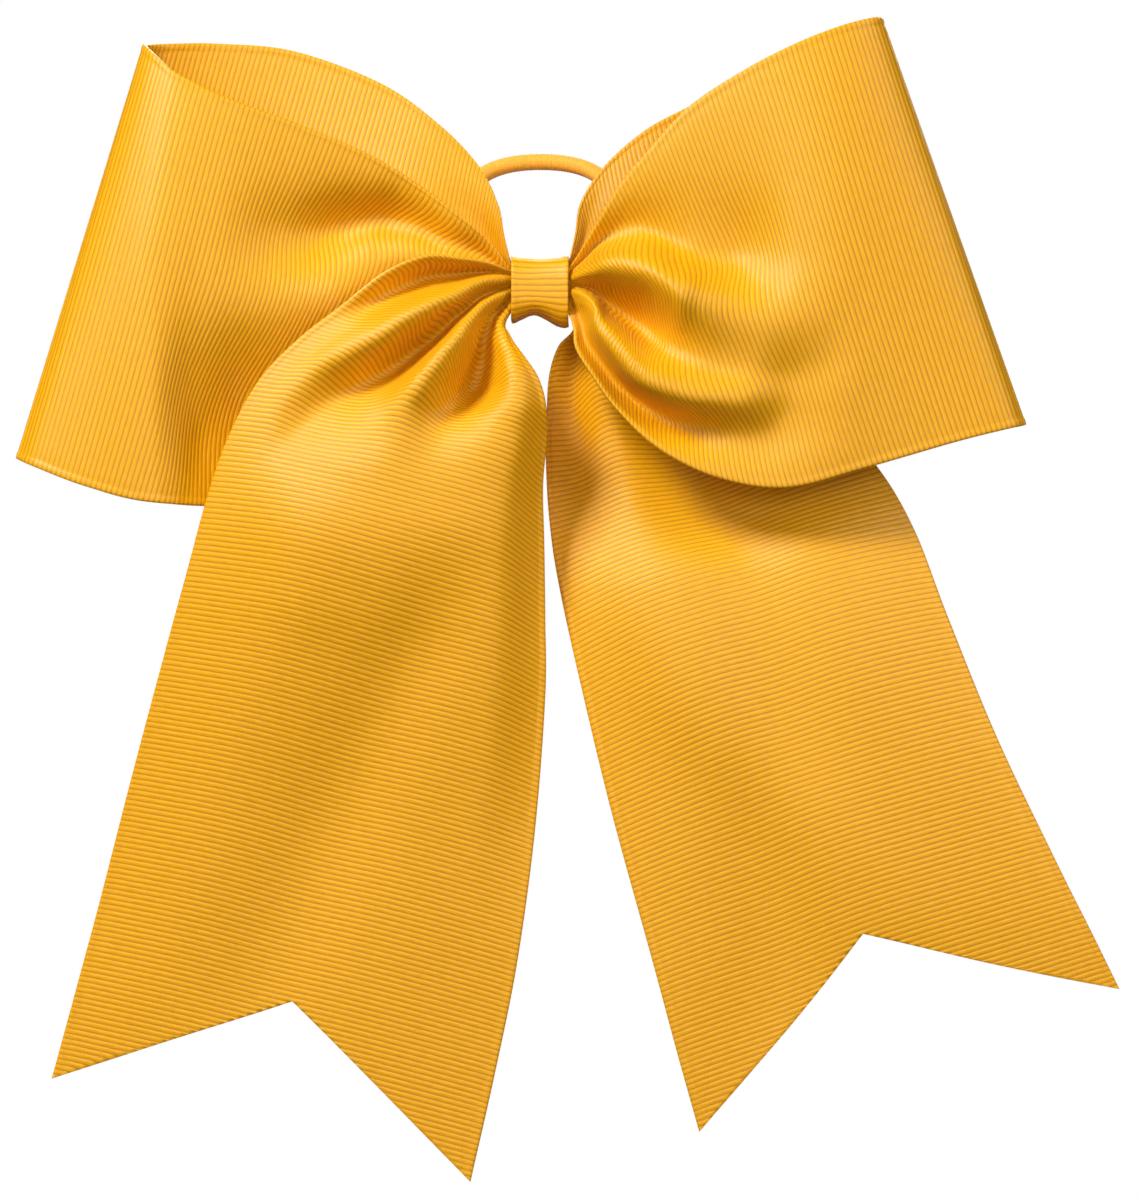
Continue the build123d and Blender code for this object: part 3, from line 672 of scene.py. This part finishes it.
RIGHT_TAIL_ROWS = [
    (4.6, -6.4, 2.9, 4.6, -6.4, -2.9, 0.0, 0.0),
    (10.0, -4.4, 4.8, 5.9, -5.0, -7.0, 2.0, 0.0),
    (18.0, -3.0, 3.0, 3.2, -3.8, -10.0, 5.0, 0.0),
    (28.0, -1.0, -3.0, 1.6, -2.6, -15.0, 8.0, 0.0),
    (39.0, 0.2, -11.4, 1.2, -1.8, -22.0, 9.0, 0.0),
    (50.0, 0.8, -20.6, 1.1, -3.4, -31.0, 8.0, 0.5),
    (59.4, -0.4, -30.9, 1.8, -5.6, -42.0, 5.0, 2.5),
    (65.8, -2.8, -42.0, 3.6, -7.4, -53.0, 3.0, 5.0),
    (71.7, -5.0, -57.6, 7.6, -8.0, -71.0, 1.5, 5.0),
    (80.4, -6.2, -79.0, 12.8, -7.8, -92.5, 0.5, 3.5),
    (90.9, -6.2, -100.9, 19.8, -7.0, -118.0, 0.0, 2.0),
    (96.8, -5.8, -112.6, 24.2, -6.0, -134.4, 0.0, 1.2),
    (101.9, -5.0, -122.9, 28.0, -5.0, -148.0, 0.0, 0.8)]
RIGHT_TAIL_DENTS = [
    [(0, 0.20, 0.5, 0.06), (2, 0.20, 1.2, 0.08), (4, 0.22, 1.2, 0.10), (6, 0.24, 0.0, 0.12)],
    [(0, 0.44, 0.0, 0.07), (2, 0.46, -1.0, 0.08), (4, 0.50, -1.4, 0.10), (7, 0.5, 0.0, 0.14)],
    [(0, 0.68, 0.5, 0.07), (2, 0.72, 1.8, 0.08), (4, 0.74, 2.2, 0.10), (6, 0.74, 1.4, 0.12),
     (8, 0.74, 0.0, 0.14)],
    [(0, 0.86, -0.5, 0.06), (2, 0.88, -1.4, 0.06), (4, 0.90, -1.8, 0.07), (6.5, 0.92, 0.0, 0.08)],
    [(5.0, 0.52, 0.0, 0.12), (6.6, 0.46, -1.6, 0.12), (8.0, 0.50, -1.2, 0.13),
     (10, 0.70, -1.2, 0.13), (12, 0.8, 0.0, 0.13)],
    [(6.5, 0.78, 0.0, 0.12), (8.0, 0.72, 1.4, 0.14), (10, 0.45, 1.2, 0.16), (12, 0.4, 0.0, 0.14)]]

ROOT_PLEATS = [[(0, 0.16 * k, -0.4 if k % 2 else 0.4), (1.5, 0.16 * k, -1.0 if k % 2 else 1.0),
                (3.5, 0.16 * k, 0.0), (20, 0.16 * k, 0.0)] for k in range(7)]
ROOT_PLEATS[-1] = [(0, 1.0, 0.4), (1.5, 1.0, 0.6), (3.5, 1.0, 0.0), (20, 1.0, 0.0)]


def loop_cloth(name, rows, creases, dents, nodes):
    """One layer of a loop."""
    obj = ribbon_piece(name, rows, creases, dents)
    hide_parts(*nodes)
    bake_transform(obj)
    return obj


def tail_cloth(name, rows, creases, dents, nodes):
    """One tail with its V-cut end."""
    obj = ribbon_piece(name, rows, creases, dents, NOTCH_DEPTH)
    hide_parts(*nodes)
    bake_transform(obj)
    return obj


left_tail = tail_cloth("left_tail_cloth", LEFT_TAIL_ROWS, LEFT_TAIL_CREASES, LEFT_TAIL_DENTS,
                       ["left_tail_root", "left_tail"])
right_tail = tail_cloth("right_tail_cloth", RIGHT_TAIL_ROWS, ROOT_PLEATS, RIGHT_TAIL_DENTS,
                        ["right_tail_root", "right_tail"])
left_front = loop_cloth("left_front_cloth", LEFT_FRONT_ROWS, ROOT_PLEATS, LEFT_FRONT_DENTS,
                        ["left_loop_front"])
left_back = loop_cloth("left_back_cloth", LEFT_BACK_ROWS, ROOT_PLEATS, LEFT_BACK_DENTS,
                       ["left_loop_back"])
right_front = loop_cloth("right_front_cloth", RIGHT_FRONT_ROWS, RIGHT_FRONT_CREASES,
                         RIGHT_FRONT_DENTS, ["right_loop_front"])
right_back = loop_cloth("right_back_cloth", RIGHT_BACK_ROWS, ROOT_PLEATS, RIGHT_BACK_DENTS,
                        ["right_loop_back"])


# ---------------------------------------------------------------- knot

WRAP_WIDTH = 10.0
WRAP_HALF_THICK = 0.2
WRAP_RIBS = 37
WRAP_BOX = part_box("centre_wrap")


def oval(half_y, half_z, mid_y, steps):
    """Evenly spaced points of a superellipse in depth and height, |y/a|^3.2 + |z/b|^3.2 = 1, and
    its length round."""
    dense = np.linspace(0, 2 * math.pi, 4001)
    power = 2.0 / 3.2
    y = half_y * np.sign(np.cos(dense)) * np.abs(np.cos(dense)) ** power
    z = half_z * np.sign(np.sin(dense)) * np.abs(np.sin(dense)) ** power
    run = np.concatenate([[0], np.cumsum(np.hypot(np.diff(y), np.diff(z)))])
    s = np.linspace(0, run[-1], steps + 1)[:-1]
    return mid_y + np.interp(s, run, y), np.interp(s, run, z), s, run[-1]


def wrap_band():
    """The narrow ribbon round the knot. Its line is a rounded rectangle in depth and height (a
    superellipse), pulled in a little at mid-width and lower at its right bottom corner."""
    low, high = np.array(WRAP_BOX[0]) / MM, np.array(WRAP_BOX[1]) / MM
    half_y, half_z = (high[1] - low[1]) / 2 - 0.25, (high[2] - low[2]) / 2 + 0.1
    mid_y = (high[1] + low[1]) / 2
    y, z, s, run_length = oval(half_y, half_z, mid_y, WRAP_RIBS * 6)
    edge = np.array([0.0, 0.25, 0.5, 0.75, 1.0, 1.3])
    x = np.concatenate([edge, np.linspace(1.9, WRAP_WIDTH - 1.9, 13), WRAP_WIDTH - edge[::-1]])
    u = x / WRAP_WIDTH * 2 - 1
    pinch = 1 - 0.075 * (1 - u ** 2)
    lower = np.clip(-z / half_z, 0, 1)[:, None] ** 2
    sag, lift_up = np.exp(-((u - 0.75) / 0.35) ** 2), np.exp(-((u + 0.25) / 0.45) ** 2)
    droop = lower * (0.9 * sag - 1.1 * lift_up)[None, :]
    ripple = 0.07 * np.sin(u * 3.2 + 0.6)[None, :] * np.sin(s * 0.8)[:, None]
    middle = np.stack(np.broadcast_arrays((x - WRAP_WIDTH / 2)[None, :],
                                          mid_y + (y[:, None] - mid_y) * pinch[None, :],
                                          z[:, None] * pinch[None, :] - droop + ripple), axis=2)
    rib = 0.07 * np.abs(np.sin(math.pi * s * WRAP_RIBS / run_length))[:, None] ** 0.8
    from_edge = np.minimum(x, WRAP_WIDTH - x)[None, :]
    groove = np.exp(-((from_edge - 1.2) / 0.2) ** 2)
    edge_cord = np.exp(-((from_edge - 0.6) / 0.3) ** 2)
    lift = rib * (1 - 0.8 * groove) + 0.07 * edge_cord
    round_run = s * WRAP_RIBS / run_length * RIB_PITCH
    uv = np.stack(np.broadcast_arrays(x[None, :], round_run[:, None]), axis=-1)
    along = np.roll(middle, -1, axis=0) - np.roll(middle, 1, axis=0)
    across = np.gradient(middle, axis=1)
    normal = unit(np.cross(across, along))
    outward = middle - np.array([0, mid_y, 0])
    outward[..., 0] = 0
    normal *= np.sign((normal * outward).sum(axis=2, keepdims=True))
    off = (WRAP_HALF_THICK + lift)[..., None] * normal
    points = np.concatenate([(middle + off).reshape(-1, 3),
                             (middle - WRAP_HALF_THICK * normal).reshape(-1, 3)])
    obj = mesh_object("wrap_band", points, band_faces(len(s), len(x)), NO_TRIANGLES,
                      np.vstack([uv.reshape(-1, 2)] * 2) * MM)
    return obj, run_length


wrap, wrap_length = wrap_band()
wrap.data.materials.append(RIBBON_CLOTH)
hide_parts("centre_wrap")
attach(wrap, "knot")


WAIST_HALF_LENGTH = 4.2
WAIST_HALF_HEIGHT = 2.1
WAIST_PLEAT = 0.3
WAIST_PLEATS = 3.5
WAIST_THICK = 0.4
WAIST_GRID = (12, 160)
WAIST_CLOTH_WIDTH = 30


def waist_strip(name, y_mid, node):
    """A gathered layer inside the knot: a pleated section, the same all along the knot's width. Its
    depth is a sine of 0.3 mm with three and a half pleats from top to bottom. It is smaller than the
    real layer, so that it clears the thread and the wrap."""
    x = np.linspace(-WAIST_HALF_LENGTH, WAIST_HALF_LENGTH, WAIST_GRID[0])
    t = np.linspace(0, 1, WAIST_GRID[1])
    z = WAIST_HALF_HEIGHT - 2 * WAIST_HALF_HEIGHT * t
    y = y_mid - WAIST_PLEAT * np.sin(2 * math.pi * WAIST_PLEATS * t)
    middle = np.stack(np.broadcast_arrays(x[:, None], y[None, :], z[None, :]), axis=2)
    index = np.arange(WAIST_GRID[0] * WAIST_GRID[1]).reshape(WAIST_GRID)
    uv = np.stack(np.broadcast_arrays((t * WAIST_CLOTH_WIDTH)[None, :], (x + WRAP_WIDTH / 2)[:, None]),
                  axis=-1).reshape(-1, 2) * MM
    obj = two_sided(name, middle, index, np.zeros(WAIST_GRID), WAIST_THICK, uv)
    obj.data.materials.append(RIBBON_CLOTH)
    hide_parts(node)
    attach(obj, "knot")


for layer in ("front", "middle", "rear"):
    node = f"waist_{layer}_layer"
    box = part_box(node)
    waist_strip(f"waist_{layer}_gathers", (box[0][1] + box[1][1]) / 2 / MM, node)


THREAD_HALF_WIDTH = 1.5
THREAD_RADIUS = 0.25
THREAD_PITCH = 0.375
THREAD_WALL = 0.2
THREAD_SIZE = (120, 61)


def thread_winding():
    """Turns of thread side by side under the wrap: a ring whose outside is a row of round strands,
    radius 0.25 mm * |sin|^0.6 across the width."""
    low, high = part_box("binding_thread")
    half_y, half_z = (high[1] - low[1]) / 2 / MM - 0.7, 3.5
    y, z, _, _ = oval(half_y, half_z, (high[1] + low[1]) / 2 / MM, THREAD_SIZE[0])
    x = np.linspace(-THREAD_HALF_WIDTH, THREAD_HALF_WIDTH, THREAD_SIZE[1])
    bump = THREAD_RADIUS * np.abs(np.sin(math.pi * (x + THREAD_HALF_WIDTH) / THREAD_PITCH)) ** 0.6
    out = unit(np.stack([y - np.mean(y), z], axis=1))
    outer = np.zeros((*THREAD_SIZE, 3))
    outer[..., 0] = x
    outer[..., 1] = y[:, None] + out[:, 0:1] * bump
    outer[..., 2] = z[:, None] + out[:, 1:2] * bump
    inner = outer.copy()
    inner[..., 1] = (y - THREAD_WALL * out[:, 0])[:, None]
    inner[..., 2] = (z - THREAD_WALL * out[:, 1])[:, None]
    points = np.concatenate([outer.reshape(-1, 3), inner.reshape(-1, 3)])
    obj = mesh_object("thread_winding", points, band_faces(*THREAD_SIZE), NO_TRIANGLES, None)
    obj.data.materials.append(THREAD)
    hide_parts("binding_thread")
    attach(obj, "knot")


thread_winding()
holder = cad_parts["wrap_glue"]
holder.data.materials.clear()
holder.data.materials.append(GLUE)


# ---------------------------------------------------------------- floor

FLOOR_Z = -0.33
floor_mesh = bpy.data.meshes.new("floor")
floor_mesh.from_pydata([(-8, -8, FLOOR_Z), (8, -8, FLOOR_Z), (8, 1.7, FLOOR_Z), (-8, 1.7, FLOOR_Z)],
                       [], [(0, 1, 2, 3)])
floor = bpy.data.objects.new("floor", floor_mesh)
bpy.context.scene.collection.objects.link(floor)
floor_material = bpy.data.materials.new("matt_white_paper")
floor_material.use_nodes = True
paper = floor_material.node_tree.nodes["Principled BSDF"]
paper.inputs["Base Color"].default_value = linear("#808080")
paper.inputs["Emission Color"].default_value = (1, 1, 1, 1)
paper.inputs["Emission Strength"].default_value = 0.72
floor.visible_diffuse = False
floor.visible_glossy = False
paper.inputs["Roughness"].default_value = 0.9
floor_mesh.materials.append(floor_material)
